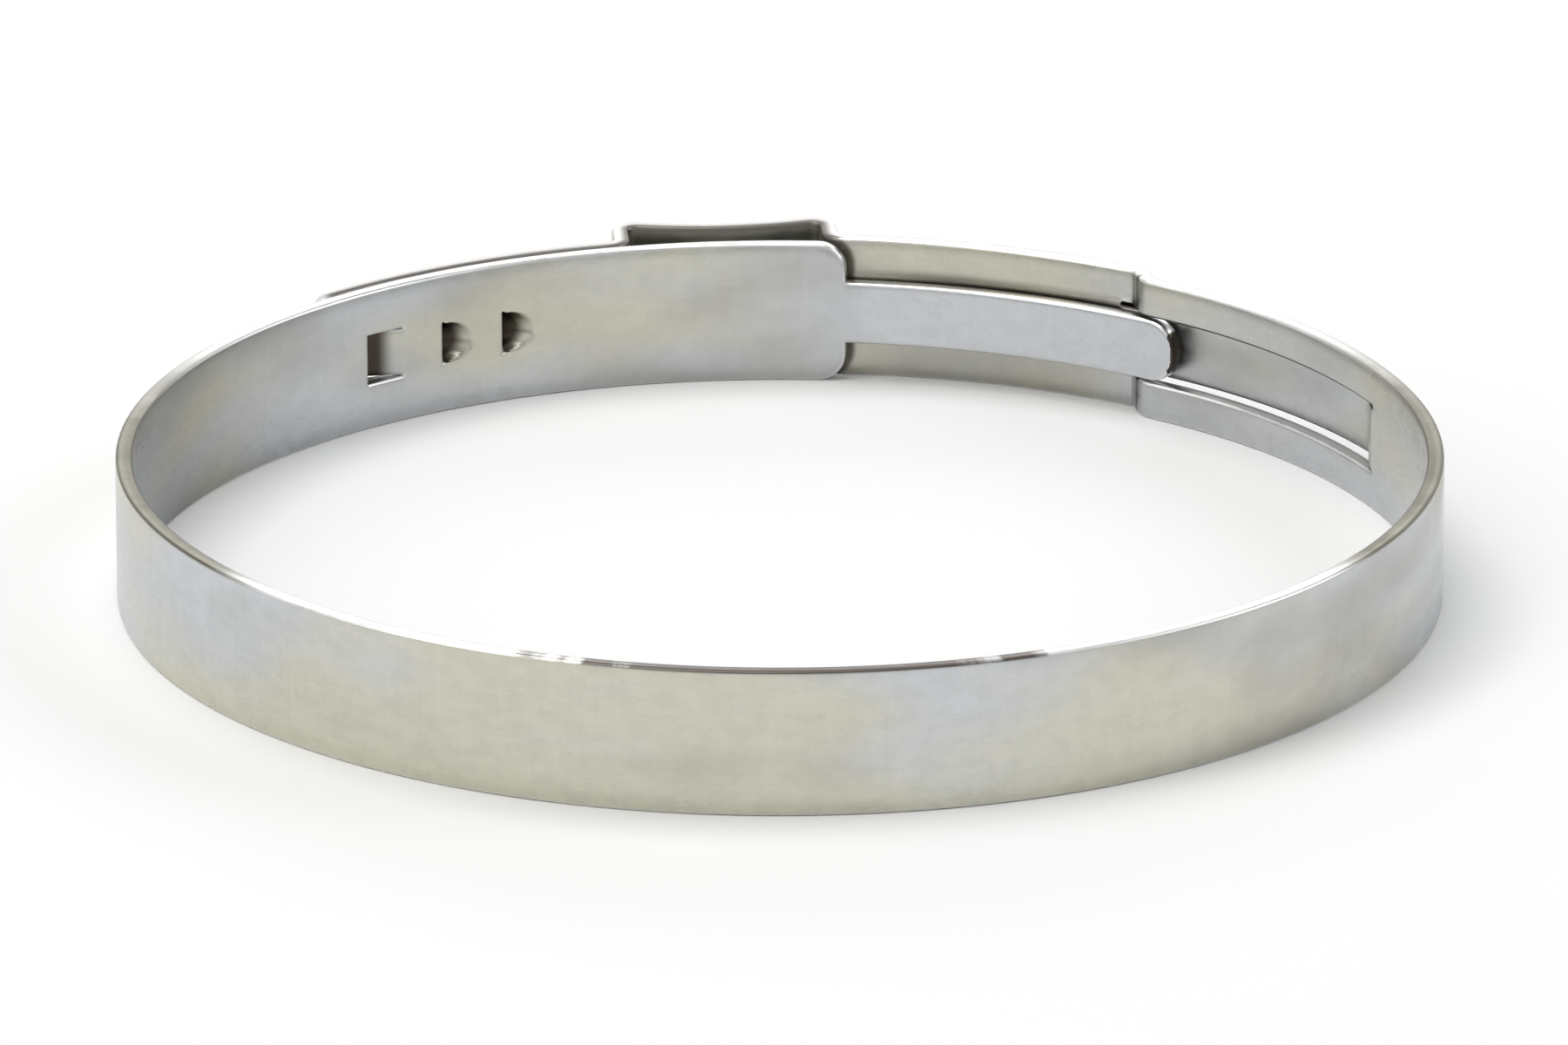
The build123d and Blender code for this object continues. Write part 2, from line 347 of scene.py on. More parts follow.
class RollTree:
    """Geometry Nodes tree that rolls the flat blank along the plan paths of the clamp."""

    INPUTS = {
        "Strip Path": "Object",
        "Floor Path": "Object",
        "Floor Start": "Float",
        "Floor Scale": "Float",
        "Steel": "Material",
    }

    def __init__(self) -> None:
        """Build the tree and remember the identifiers of its inputs."""
        self.tree = bpy.data.node_groups.new("roll_strip", "GeometryNodeTree")
        sockets = self.tree.interface
        sockets.new_socket("Geometry", in_out="INPUT", socket_type="NodeSocketGeometry")
        self.identifiers = {
            name: sockets.new_socket(name, in_out="INPUT", socket_type="NodeSocket" + kind).identifier
            for name, kind in self.INPUTS.items()
        }
        sockets.new_socket("Geometry", in_out="OUTPUT", socket_type="NodeSocketGeometry")
        self._build()

    def _node(self, kind: str, **settings: object) -> bpy.types.Node:
        """Add a node.

        Args:
            kind: type of the node.
            settings: attributes of the node.

        Returns:
            The new node.
        """
        node = self.tree.nodes.new(kind)
        for key, value in settings.items():
            setattr(node, key, value)
        return node

    def _link(self, source: bpy.types.NodeSocket, target: bpy.types.NodeSocket) -> None:
        """Link two sockets."""
        self.tree.links.new(source, target)

    def _math(self, operation: str, first: object, second: object) -> bpy.types.NodeSocket:
        """Add a sum of two numbers.

        Args:
            operation: what to do with them.
            first: value or source socket of the first number.
            second: value or source socket of the second number.

        Returns:
            The socket that holds the result.
        """
        node = self._node("ShaderNodeMath", operation=operation)
        for slot, value in zip(node.inputs, (first, second)):
            if isinstance(value, bpy.types.NodeSocket):
                self._link(value, slot)
            else:
                slot.default_value = value
        return node.outputs[0]

    def _sampled(self, path: bpy.types.NodeSocket, travel: bpy.types.NodeSocket) -> tuple:
        """Sample a path.

        Args:
            path: socket that holds the path's object.
            travel: socket that holds the length along it.

        Returns:
            The sockets of the place and of the tangent there.
        """
        info = self._node("GeometryNodeObjectInfo", transform_space="ORIGINAL")
        self._link(path, info.inputs["Object"])
        sample = self._node("GeometryNodeSampleCurve", mode="LENGTH", use_all_curves=False)
        self._link(info.outputs["Geometry"], sample.inputs["Curves"])
        self._link(travel, sample.inputs["Length"])
        return sample.outputs["Position"], sample.outputs["Tangent"]

    def _switched(
        self, test: bpy.types.NodeSocket, no: bpy.types.NodeSocket, yes: bpy.types.NodeSocket
    ) -> bpy.types.NodeSocket:
        """Choose between two vectors.

        Args:
            test: socket that tells which one to take.
            no: vector where the test is false.
            yes: vector where the test is true.

        Returns:
            The socket of the chosen vector.
        """
        node = self._node("GeometryNodeSwitch", input_type="VECTOR")
        self._link(test, node.inputs["Switch"])
        self._link(no, node.inputs["False"])
        self._link(yes, node.inputs["True"])
        return node.outputs[0]

    def _vector(
        self, operation: str, first: bpy.types.NodeSocket, second: object = None, scale: object = None
    ) -> bpy.types.NodeSocket:
        """Add a vector operation.

        Args:
            operation: what to do.
            first: socket of the first vector.
            second: value or source socket of the second vector, where there is one.
            scale: socket of the factor, where there is one.

        Returns:
            The socket that holds the result.
        """
        node = self._node("ShaderNodeVectorMath", operation=operation)
        self._link(first, node.inputs[0])
        if isinstance(second, bpy.types.NodeSocket):
            self._link(second, node.inputs[1])
        elif second is not None:
            node.inputs[1].default_value = second
        if scale is not None:
            self._link(scale, node.inputs["Scale"])
        return node.outputs[0]

    def _build(self) -> None:
        """Lay out the nodes, from the blank to the rolled strip."""
        entry = self._node("NodeGroupInput")
        leave = self._node("NodeGroupOutput")
        flat = self._node("ShaderNodeSeparateXYZ")
        self._link(self._node("GeometryNodeInputPosition").outputs[0], flat.inputs[0])
        travel, height, depth = flat.outputs
        on_floor = self._node("GeometryNodeInputNamedAttribute", data_type="BOOLEAN")
        on_floor.inputs["Name"].default_value = "on_floor"
        floor_test = on_floor.outputs["Attribute"]
        past = self._math("SUBTRACT", travel, entry.outputs["Floor Start"])
        floor_travel = self._math("MULTIPLY", past, entry.outputs["Floor Scale"])
        strip_place, strip_tangent = self._sampled(entry.outputs["Strip Path"], travel)
        floor_place, floor_tangent = self._sampled(entry.outputs["Floor Path"], floor_travel)
        place = self._switched(floor_test, strip_place, floor_place)
        tangent = self._switched(floor_test, strip_tangent, floor_tangent)
        outward = self._vector("CROSS_PRODUCT", tangent, (0.0, 0.0, -1.0))
        pushed = self._vector("SCALE", self._vector("NORMALIZE", outward), scale=depth)
        lift = self._node("ShaderNodeCombineXYZ")
        self._link(height, lift.inputs["Z"])
        rolled = self._vector("ADD", self._vector("ADD", place, pushed), lift.outputs[0])
        move = self._node("GeometryNodeSetPosition")
        self._link(entry.outputs["Geometry"], move.inputs["Geometry"])
        self._link(rolled, move.inputs["Position"])
        smooth = self._node("GeometryNodeSetShadeSmooth")
        self._link(move.outputs[0], smooth.inputs[0])
        real = self._node("GeometryNodeRealizeInstances")
        self._link(smooth.outputs[0], real.inputs[0])
        finish = self._node("GeometryNodeSetMaterial")
        self._link(real.outputs[0], finish.inputs["Geometry"])
        self._link(entry.outputs["Steel"], finish.inputs["Material"])
        self._link(finish.outputs[0], leave.inputs[0])

    def apply(self, blank: bpy.types.Object, values: dict[str, object], name: str) -> bpy.types.Object:
        """Roll a blank and return the result as a plain mesh object.

        Args:
            blank: the flat blank.
            values: the value of each input, by its name.
            name: name of the new object.

        Returns:
            The rolled strip.
        """
        modifier = blank.modifiers.new("roll", "NODES")
        modifier.node_group = self.tree
        for key, value in values.items():
            modifier[self.identifiers[key]] = value
        bpy.context.view_layer.update()
        graph = bpy.context.evaluated_depsgraph_get()
        mesh = bpy.data.meshes.new_from_object(blank.evaluated_get(graph), depsgraph=graph)
        blank.modifiers.clear()
        piece = bpy.data.objects.new(name, mesh)
        bpy.context.scene.collection.objects.link(piece)
        return piece


@dataclass
class Blank:
    """Flat blank of the strip: a grid of stations along it and rows across it, with holes left out."""

    sizes: StripSizes
    path: PlanPath
    ear: EarSizes
    tongue: TongueSizes
    hooks: HookSizes
    grid: GridSizes = field(default_factory=GridSizes)
    painted_shades: PaintedShades = field(default_factory=PaintedShades)
    marks: dict[str, float] = field(default_factory=dict)

    def place_marks(self) -> None:
        """Find how far along the path each feature lies."""
        strip, tongue, hooks = self.sizes, self.tongue, self.hooks
        inner, outer, channel = strip.bore_radius, strip.hook_side_level, strip.tongue_side_level
        slot_end = self._travel(tongue.slot_end, inner)
        lap = slot_end - tongue.slot_end + strip.circumference
        marks = {
            "slot_start": self._travel(tongue.slot_start, channel),
            "slot_end": slot_end,
            "shoulder": lap + strip.shoulder,
            "tip": lap + tongue.tip,
            "hinge": lap + hooks.guide_hinge,
            "step": self._travel(tongue.step, (channel + inner) / 2),
            "ear_middle": self.path.travel_to((0.0, self.ear.top - self.ear.saddle - strip.thickness)),
        }
        for index, place in enumerate(hooks.load_faces):
            marks[f"load_{index}"] = lap + place
            marks[f"window_{index}"] = self._travel(place - hooks.window_clearance, outer)
        guide_tip = hooks.guide_hinge - hooks.guide_length
        marks["guide_window"] = self._travel(guide_tip - hooks.window_clearance, outer)
        self.marks = {name: round(travel, self.grid.decimals) for name, travel in marks.items()}
        self.marks["guide"] = self.marks["hinge"] - hooks.guide_length

    def _travel(self, place: float, level: float) -> float:
        """Travel of a place on a level."""
        turn = place / self.sizes.bore_radius
        return self.path.travel_to((level * math.sin(turn), level * math.cos(turn)))

    def windows(self) -> list[tuple[float, float, float]]:
        """Find the windows in the outer layer.

        Returns:
            Start, end and half width of each window.
        """
        hooks = self.hooks
        slack = hooks.window_clearance + hooks.window_release
        spans = [(self.marks["guide_window"], hooks.guide_length + slack, hooks.guide_window_half_width)]
        for index in range(len(hooks.load_faces)):
            spans.append((self.marks[f"window_{index}"], hooks.length + slack, hooks.window_half_width))
        return [(start, start + length, half) for start, length, half in spans]

    def loads(self) -> list[float]:
        """Travel of the sheared face of each load hook."""
        return [self.marks[f"load_{index}"] for index in range(len(self.hooks.load_faces))]

    def rim_offsets(self) -> np.ndarray:
        """Distances from an edge at which the rounding of that edge has its rows."""
        return self.sizes.edge_radius * np.array(self.grid.rim_shares)

    def lay_stations(self) -> np.ndarray:
        """Choose the stations: bends, plain stretches and the edges of all features.

        Returns:
            Travels of the stations, in rising order.
        """
        marks, hooks, grid = self.marks, self.hooks, self.grid
        rim, quarter = self.rim_offsets(), math.pi / 2
        corner = np.linspace(0, 1, 7) * self.sizes.end_corner_radius
        tip = (1 - np.cos(np.linspace(0, quarter, 11))) * self.tongue.tip_radius
        shoulder = marks["shoulder"]
        exact = [rim, corner, shoulder - rim, shoulder - corner, [shoulder + grid.shoulder_tail]]
        exact += [marks["tip"] - rim, marks["tip"] - tip, marks["slot_start"] - rim, marks["slot_end"] + rim]
        bend = (1 - np.cos(np.linspace(0, quarter, 6))) * hooks.window_corner
        for start, end, _ in self.windows():
            exact += [start - rim, end + rim, start + bend, end - bend]
            exact.append([start - grid.window_lead, end + grid.window_lead])
        pocket = np.linspace(0, 1, 19) * (hooks.length + grid.pocket_tail)
        for load in self.loads():
            exact += [load + rim, load - hooks.shear - rim, load + pocket, [load - grid.hook_lead]]
        hinge, guide = marks["hinge"], marks["guide"]
        exact += [guide + rim, guide - hooks.guide_slit - rim, hinge + rim]
        exact += [hinge + np.linspace(-1, 1, 7) * grid.hinge_reach]
        exact.append([guide - grid.guide_lead, hinge + grid.guide_lead])
        exact.append(marks["step"] + np.linspace(-1, 1, 9) * grid.step_reach)
        bead = self.ear.bead_straight / 2 + grid.bead_reach
        exact.append(marks["ear_middle"] + np.linspace(-1, 1, 31) * bead)
        exact = np.concatenate([np.asarray(group, float) for group in exact])
        exact = np.unique(np.round(exact, grid.decimals))
        exact = exact[np.concatenate([[True], np.diff(exact) > grid.smallest_step])]
        loose = self.path.stations(grid.pitch, grid.turn)
        gaps = np.abs(loose[:, None] - exact[None, :]).min(axis=1)
        stations = np.sort(np.concatenate([exact, loose[gaps > grid.clear_of_exact]]))
        return stations[(stations >= 0) & (stations <= marks["tip"] + grid.tolerance / 1000)]

    def _profile(self, stations: np.ndarray, keys: list[tuple[float, float]], rest: float) -> np.ndarray:
        """Read a half width at each station from keys, with a value where no key is near."""
        times, values = np.array(sorted(keys)).T
        return np.interp(stations, times, values, left=rest, right=rest)

    def _window_keys(self, half: float) -> list[tuple[float, float]]:
        """Follow the round corner of a window.

        Args:
            half: half width of the window.

        Returns:
            Distances from the window's end, each with the half width there.
        """
        corner = self.hooks.window_corner
        shares = np.linspace(0, math.pi / 2, 6)
        return [(corner * (1 - math.cos(share)), half - corner * (1 - math.sin(share))) for share in shares]

    def half_widths(self, stations: np.ndarray) -> tuple[np.ndarray, np.ndarray, np.ndarray]:
        """Find how far the rows reach from the middle line.

        Args:
            stations: travels of the stations.

        Returns:
            Half widths of the strip, of the slits' far sides and of the middle part.
        """
        marks, hooks, strip, tongue, grid = self.marks, self.hooks, self.sizes, self.tongue, self.grid
        shoulder, radius, closed = marks["shoulder"], strip.end_corner_radius, grid.closed_slit
        to_end = np.minimum(np.clip(stations, 0, radius), np.clip(shoulder - stations, 0, radius))
        edge = strip.middle - (radius - np.sqrt(radius**2 - (radius - to_end) ** 2))
        on_tongue = stations > shoulder + grid.tolerance
        edge = np.where(on_tongue, strip.middle, edge)
        floor = tongue.floor_half_width
        middle = [(time, floor) for time in (0.0, marks["slot_start"], marks["slot_end"] + 1)]
        far = [(time, floor + tongue.slit) for time, _ in middle]
        for start, end, half in self.windows():
            rest = half if half < floor else floor + tongue.slit
            for along, reach in self._window_keys(half):
                far += [(start + along, reach), (end - along, reach)]
                middle += [(start + along, reach - closed), (end - along, reach - closed)]
            for time in (start - grid.window_lead, end + grid.window_lead):
                far.append((time, rest))
                middle.append((time, rest - closed))
        guide_start = marks["guide"] - hooks.guide_slit - strip.edge_radius
        for time in (guide_start, marks["hinge"] + strip.edge_radius):
            middle.append((time, hooks.guide_half_width))
            far.append((time, hooks.guide_half_width + hooks.guide_slit))
        for load in self.loads():
            for time in (load - grid.hook_row_lead, load + hooks.length + grid.hook_row_tail):
                middle.append((time, hooks.pocket_half_width))
                far.append((time, hooks.pocket_half_width + closed))
        middle.append((shoulder - grid.shoulder_lead, tongue.half_width))
        far.append((shoulder - grid.shoulder_lead, tongue.half_width + closed))
        middle = self._profile(stations, middle, tongue.half_width)
        far = self._profile(stations, far, tongue.half_width + closed)
        to_tip = np.clip(marks["tip"] - stations, 0, tongue.tip_radius)
        inset = tongue.tip_radius - np.sqrt(tongue.tip_radius**2 - (tongue.tip_radius - to_tip) ** 2)
        middle = np.where(on_tongue, tongue.half_width - inset, middle)
        far = np.where(on_tongue, tongue.half_width + closed, far)
        return edge, far, middle

    def lay_rows(self, stations: np.ndarray) -> tuple[np.ndarray, list[Region]]:
        """Lay the rows across the strip.

        Args:
            stations: travels of the stations.

        Returns:
            Heights of all rows at each station, and the region of each band between two rows.
        """
        grid, rim = self.grid, self.rim_offsets()
        edge, far, middle = self.half_widths(stations)
        far = np.minimum(far, edge - grid.least_side)
        middle = np.minimum(middle, far - grid.least_slit)
        squeeze = np.minimum(1, (edge - far) / grid.side_room / self.sizes.edge_radius)
        low, high = edge - rim[-1] * squeeze, far + rim[-1] * squeeze
        half = [edge - offset * squeeze for offset in rim]
        half += [low + (high - low) * share for share in (1 / 3, 2 / 3)]
        half += [far + offset * squeeze for offset in rim[::-1]]
        squeeze = np.minimum(1, middle / grid.middle_room / self.sizes.edge_radius)
        half += [middle - offset * squeeze for offset in rim]
        last = half[-1]
        half += [last * (1 - share) for share in np.linspace(0, 1, 7)[1:-1]]
        upper = np.stack(half, axis=1)
        rows = np.concatenate([-upper, np.zeros((len(stations), 1)), upper[:, ::-1]], axis=1)
        side = 2 * len(rim) + 1
        regions = [Region.LOWER_SIDE] * side + [Region.LOWER_SLIT]
        regions += [Region.MIDDLE] * (2 * (len(rim) + 5))
        regions += [Region.UPPER_SLIT] + [Region.UPPER_SIDE] * side
        return rows + self.sizes.middle, regions

    def kept_cells(self, stations: np.ndarray, regions: list[Region]) -> np.ndarray:
        """Tell where there is steel.

        Args:
            stations: travels of the stations.
            regions: region of each band between two rows.

        Returns:
            For each cell between stations and rows, whether there is steel in it.
        """
        marks, hooks = self.marks, self.hooks
        between = (stations[:-1] + stations[1:]) / 2
        kept = np.ones((len(between), len(regions)), bool)
        slits = np.array([region in (Region.LOWER_SLIT, Region.UPPER_SLIT) for region in regions])
        centre = np.array([region is Region.MIDDLE for region in regions])
        cuts = [(marks["slot_start"], marks["slot_end"], slits)]
        cuts += [(start, end, slits | centre) for start, end, _ in self.windows()]
        cuts += [(load - hooks.shear, load, centre) for load in self.loads()]
        cuts.append((marks["guide"] - hooks.guide_slit, marks["guide"], slits | centre))
        cuts.append((marks["guide"], marks["hinge"], slits))
        cuts.append((marks["shoulder"], marks["tip"] + 1, ~centre))
        for start, end, bands in cuts:
            kept[np.ix_((between > start) & (between < end), bands)] = False
        return kept

    def edge_distances(self, stations: np.ndarray, rows: np.ndarray, kept: np.ndarray) -> np.ndarray:
        """Measure how far each grid point is from the nearest edge of the steel.

        Args:
            stations: travels of the stations.
            rows: heights of the rows at each station.
            kept: the cells with steel in them.

        Returns:
            The distances, up to a little past the rounding of the edges.
        """
        padded = np.pad(kept, 1)
        across = padded[1:, 1:-1] != padded[:-1, 1:-1]
        along = padded[1:-1, 1:] != padded[1:-1, :-1]
        grid = np.stack([np.broadcast_to(stations[:, None], rows.shape), rows], axis=2)
        starts = np.concatenate([grid[:, :-1][across], grid[:-1][along]])
        ends = np.concatenate([grid[:, 1:][across], grid[1:][along]])
        reach = 2 * self.sizes.edge_radius
        nearest = np.full(rows.shape, reach)
        low = np.minimum(starts[:, 0], ends[:, 0]) - reach
        high = np.maximum(starts[:, 0], ends[:, 0]) + reach
        for index, station in enumerate(stations):
            close = (low < station) & (high > station)
            if not close.any():
                continue
            first, run = starts[close], (ends - starts)[close]
            gap = grid[index][:, None, :] - first[None]
            share = (gap * run).sum(2) / np.maximum((run**2).sum(1), SMALLEST_RUN)
            gap = gap - run * np.clip(share, 0, 1)[..., None]
            nearest[index] = np.minimum(nearest[index], np.sqrt((gap**2).sum(2)).min(1))
        return nearest

    def _pocket(self, past: np.ndarray, offset: np.ndarray) -> np.ndarray:
        """Work out the pocket of a load hook, deepest at its sheared face.

        Args:
            past: travel past the sheared face.
            offset: distance from the middle line.

        Returns:
            How far each point is pressed out.
        """
        hooks, grid = self.hooks, self.grid
        radius = hooks.pocket_half_width
        slope = math.atan2(hooks.pocket_depth, hooks.length)
        hollow = np.sqrt(np.maximum(radius**2 - offset**2, 0))
        depth = hooks.pocket_depth * (1 - past / hooks.length) - (radius - hollow) / math.cos(slope)
        depth = depth - hooks.pocket_wall_slope * np.maximum(offset - radius, 0)
        near = (past > -grid.tolerance) & (past < hooks.length + grid.pocket_margin)
        near &= offset < radius + grid.pocket_side_margin
        return np.where(near, self._soft(depth, hooks.softness), 0)

    def pressing(self, stations: np.ndarray, rows: np.ndarray) -> np.ndarray:
        """Work out what the press does: hooks go outward, the bead of the ear inward.

        Args:
            stations: travels of the stations.
            rows: heights of the rows at each station.

        Returns:
            How far each point is pressed outward.
        """
        hooks, ear, grid = self.hooks, self.ear, self.grid
        travel = np.broadcast_to(stations[:, None], rows.shape)
        offset = np.abs(rows - self.sizes.middle)
        push = sum(self._pocket(travel - load, offset) for load in self.loads())
        back = self.marks["hinge"] - travel
        near = (back > -grid.hinge_margin) & (back < hooks.guide_length + grid.tolerance)
        near &= offset < hooks.guide_half_width + grid.tolerance
        lift = hooks.guide_lift / hooks.guide_length
        push = push + np.where(near, self._soft(back * lift, hooks.guide_softness), 0)
        along = np.maximum(np.abs(travel - self.marks["ear_middle"]) - ear.bead_straight / 2, 0)
        distance = np.hypot(along, offset)
        bowl = np.sqrt(np.maximum(ear.bead_radius**2 - distance**2, 0)) - (ear.bead_radius - ear.bead_depth)
        return push - np.where(distance < ear.bead_radius, self._soft(bowl, ear.bead_softness), 0)

    def _soft(self, value: np.ndarray, softness: float) -> np.ndarray:
        """The positive part of a value, with a soft start."""
        lifted = (value + np.sqrt(value**2 + softness**2)) / 2
        return np.maximum(lifted - softness**2 / 4 / np.maximum(np.abs(value), softness), 0)

    def build(self, name: str) -> bpy.types.Object:
        """Build the blank as a closed mesh in metres, with its travel and height as a UV map.

        Args:
            name: name of the new object.

        Returns:
            The flat blank.
        """
        stations = self.lay_stations()
        rows, regions = self.lay_rows(stations)
        kept = self.kept_cells(stations, regions)
        nearest = self.edge_distances(stations, rows, kept)
        radius = self.sizes.edge_radius
        inset = np.clip(radius - nearest, 0, radius)
        rounding = radius - np.sqrt(radius**2 - inset**2)
        push = self.pressing(stations, rows)
        travel = np.broadcast_to(stations[:, None], rows.shape)
        bore_side = np.stack([travel, rows, push + rounding], axis=2)
        back_side = np.stack([travel, rows, push + self.sizes.thickness - rounding], axis=2)
        count = rows.size
        points = np.concatenate([bore_side.reshape(-1, 3), back_side.reshape(-1, 3)]) * MM
        faces = self._faces(kept, rows.shape, count)
        used = np.unique(faces)
        renumber = np.full(2 * count, -1)
        renumber[used] = np.arange(len(used))
        mesh = bpy.data.meshes.new(name)
        mesh.from_pydata(points[used].tolist(), [], renumber[faces].tolist())
        mesh.update()
        self._add_map(mesh)
        both = used % count
        self._add_layers(mesh, push.ravel()[both], nearest.ravel()[both], used < count)
        holder = bpy.data.objects.new(name, mesh)
        bpy.context.scene.collection.objects.link(holder)
        log.info("%s: %d stations, %d rows, %d faces", name, len(stations), rows.shape[1], len(mesh.polygons))
        return holder

    def _faces(self, kept: np.ndarray, shape: tuple[int, int], count: int) -> np.ndarray:
        """Corner numbers of the faces: the two sides of the strip and the walls along its edges.

        The strip is rolled up clockwise, which mirrors it, so the corners run backwards on the blank.

        Args:
            kept: the cells with steel in them.
            shape: number of stations and of rows.
            count: number of grid points on one side.

        Returns:
            Four corner numbers for each face.
        """
        number = np.arange(count).reshape(shape)
        here, ahead = number[:-1, :-1], number[1:, :-1]
        above, beyond = number[:-1, 1:], number[1:, 1:]
        bore = np.stack([here, above, beyond, ahead], axis=2)[kept]
        back = np.stack([here, ahead, beyond, above], axis=2)[kept] + count
        padded = np.pad(kept, 1).astype(int)
        across = padded[1:, 1:-1] - padded[:-1, 1:-1]
        along = padded[1:-1, 1:] - padded[1:-1, :-1]
        low, high = number[:, :-1], number[:, 1:]
        left, right = number[:-1], number[1:]
        walls = []
        for change, first, second in ((across, low, high), (along, right, left)):
            for sign in (1, -1):
                chosen = change == sign
                one, two = (first, second)[::sign]
                quad = [one[chosen], one[chosen] + count, two[chosen] + count, two[chosen]]
                walls.append(np.stack(quad, axis=1))
        return np.concatenate([bore, back, *walls])[:, ::-1]

    def _places(self, mesh: bpy.types.Mesh) -> np.ndarray:
        """Read the places of the vertices.

        Args:
            mesh: mesh of the blank.

        Returns:
            One row of x, y and z for each vertex.
        """
        places = np.zeros(len(mesh.vertices) * 3)
        mesh.vertices.foreach_get("co", places)
        return places.reshape(-1, 3)

    def _add_map(self, mesh: bpy.types.Mesh) -> None:
        """Store travel and height as a UV map, in map units.

        Args:
            mesh: mesh of the blank.
        """
        corners = np.zeros(len(mesh.loops), int)
        mesh.loops.foreach_get("vertex_index", corners)
        strip_map = self._places(mesh)[corners, :2] / (MAP_UNIT * MM)
        mesh.uv_layers.new(name="strip_map").data.foreach_set("uv", strip_map.ravel())

    def _add_layers(
        self, mesh: bpy.types.Mesh, push: np.ndarray, nearest: np.ndarray, on_bore: np.ndarray
    ) -> None:
        """Store the floor flag, the painted shade of the pockets, slit edges and step, the sheared edges and
        the side that faces the bore.

        Args:
            mesh: mesh of the blank.
            push: how far each vertex is pressed outward.
            nearest: distance of each vertex from the nearest edge of the steel.
            on_bore: whether each vertex is on the side that faces the bore.
        """
        marks, painted_shades, grid = self.marks, self.painted_shades, self.grid
        travel, height = self._places(mesh).T[:2] / MM
        offset = np.abs(height - self.sizes.middle)
        on_floor = offset < self.tongue.floor_half_width + self.tongue.slit / 2
        on_floor &= travel > marks["slot_start"] + grid.tolerance
        on_floor &= travel < marks["slot_end"] - grid.tolerance
        # Painted shade: dark in the hook pockets and on the guide tab, then on the edges facing the slits and
        # at the tongue's tip, then on the riser of the step.
        guide = np.abs(travel - marks["hinge"] - painted_shades.guide_middle) < painted_shades.guide_reach
        pocket = np.clip(push / self.hooks.pocket_depth, 0, 1) * np.where(guide, painted_shades.guide, 1)
        sheared = np.clip(1 - nearest / self.sizes.edge_radius, 0, 1)
        shaded = self._shaded_edges(travel, height, on_floor) & (sheared > painted_shades.slit_from)
        pocket = np.maximum(pocket, painted_shades.slit * shaded)
        past = travel - marks["step"]
        step = on_bore & ~on_floor & (past < painted_shades.step_far)
        pocket = np.maximum(pocket, step * painted_shades.step * np.exp(-((past / painted_shades.step_spread) ** 2)))
        # The bore face except the tongue, which gets the painted darker shade of the inner face and the
        # painted shadow lines.
        bore_side = on_bore & (travel < marks["shoulder"] + painted_shades.inner_layer_margin)
        mesh.attributes.new("on_floor", "BOOLEAN", "POINT").data.foreach_set("value", on_floor)
        for name, values in (("pocket", pocket), ("sheared", sheared), ("bore_side", bore_side)):
            mesh.attributes.new(name, "FLOAT", "POINT").data.foreach_set("value", values.astype(float))

    def _shaded_edges(self, travel: np.ndarray, height: np.ndarray, on_floor: np.ndarray) -> np.ndarray:
        """Find the edges that get painted shade: the tip of the tongue and the edges that face into the
        slits.

        Args:
            travel: travel of each vertex.
            height: height of each vertex.
            on_floor: whether each vertex is on the floor of the channel.

        Returns:
            For each vertex, whether it lies on such an edge.
        """
        marks, painted_shades, middle = self.marks, self.painted_shades, self.sizes.middle
        margin = painted_shades.slot_margin
        tip = travel > marks["tip"] - painted_shades.tip_reach
        slot = (travel > marks["slot_start"] - margin) & (travel < marks["slot_end"] + margin)
        inner = np.abs(height - middle) < middle - self.sizes.edge_radius - margin
        upper = slot & inner & (height > middle)
        start = slot & inner & (travel < marks["slot_start"] + painted_shades.start_reach)
        return tip | upper | start | (on_floor & slot)


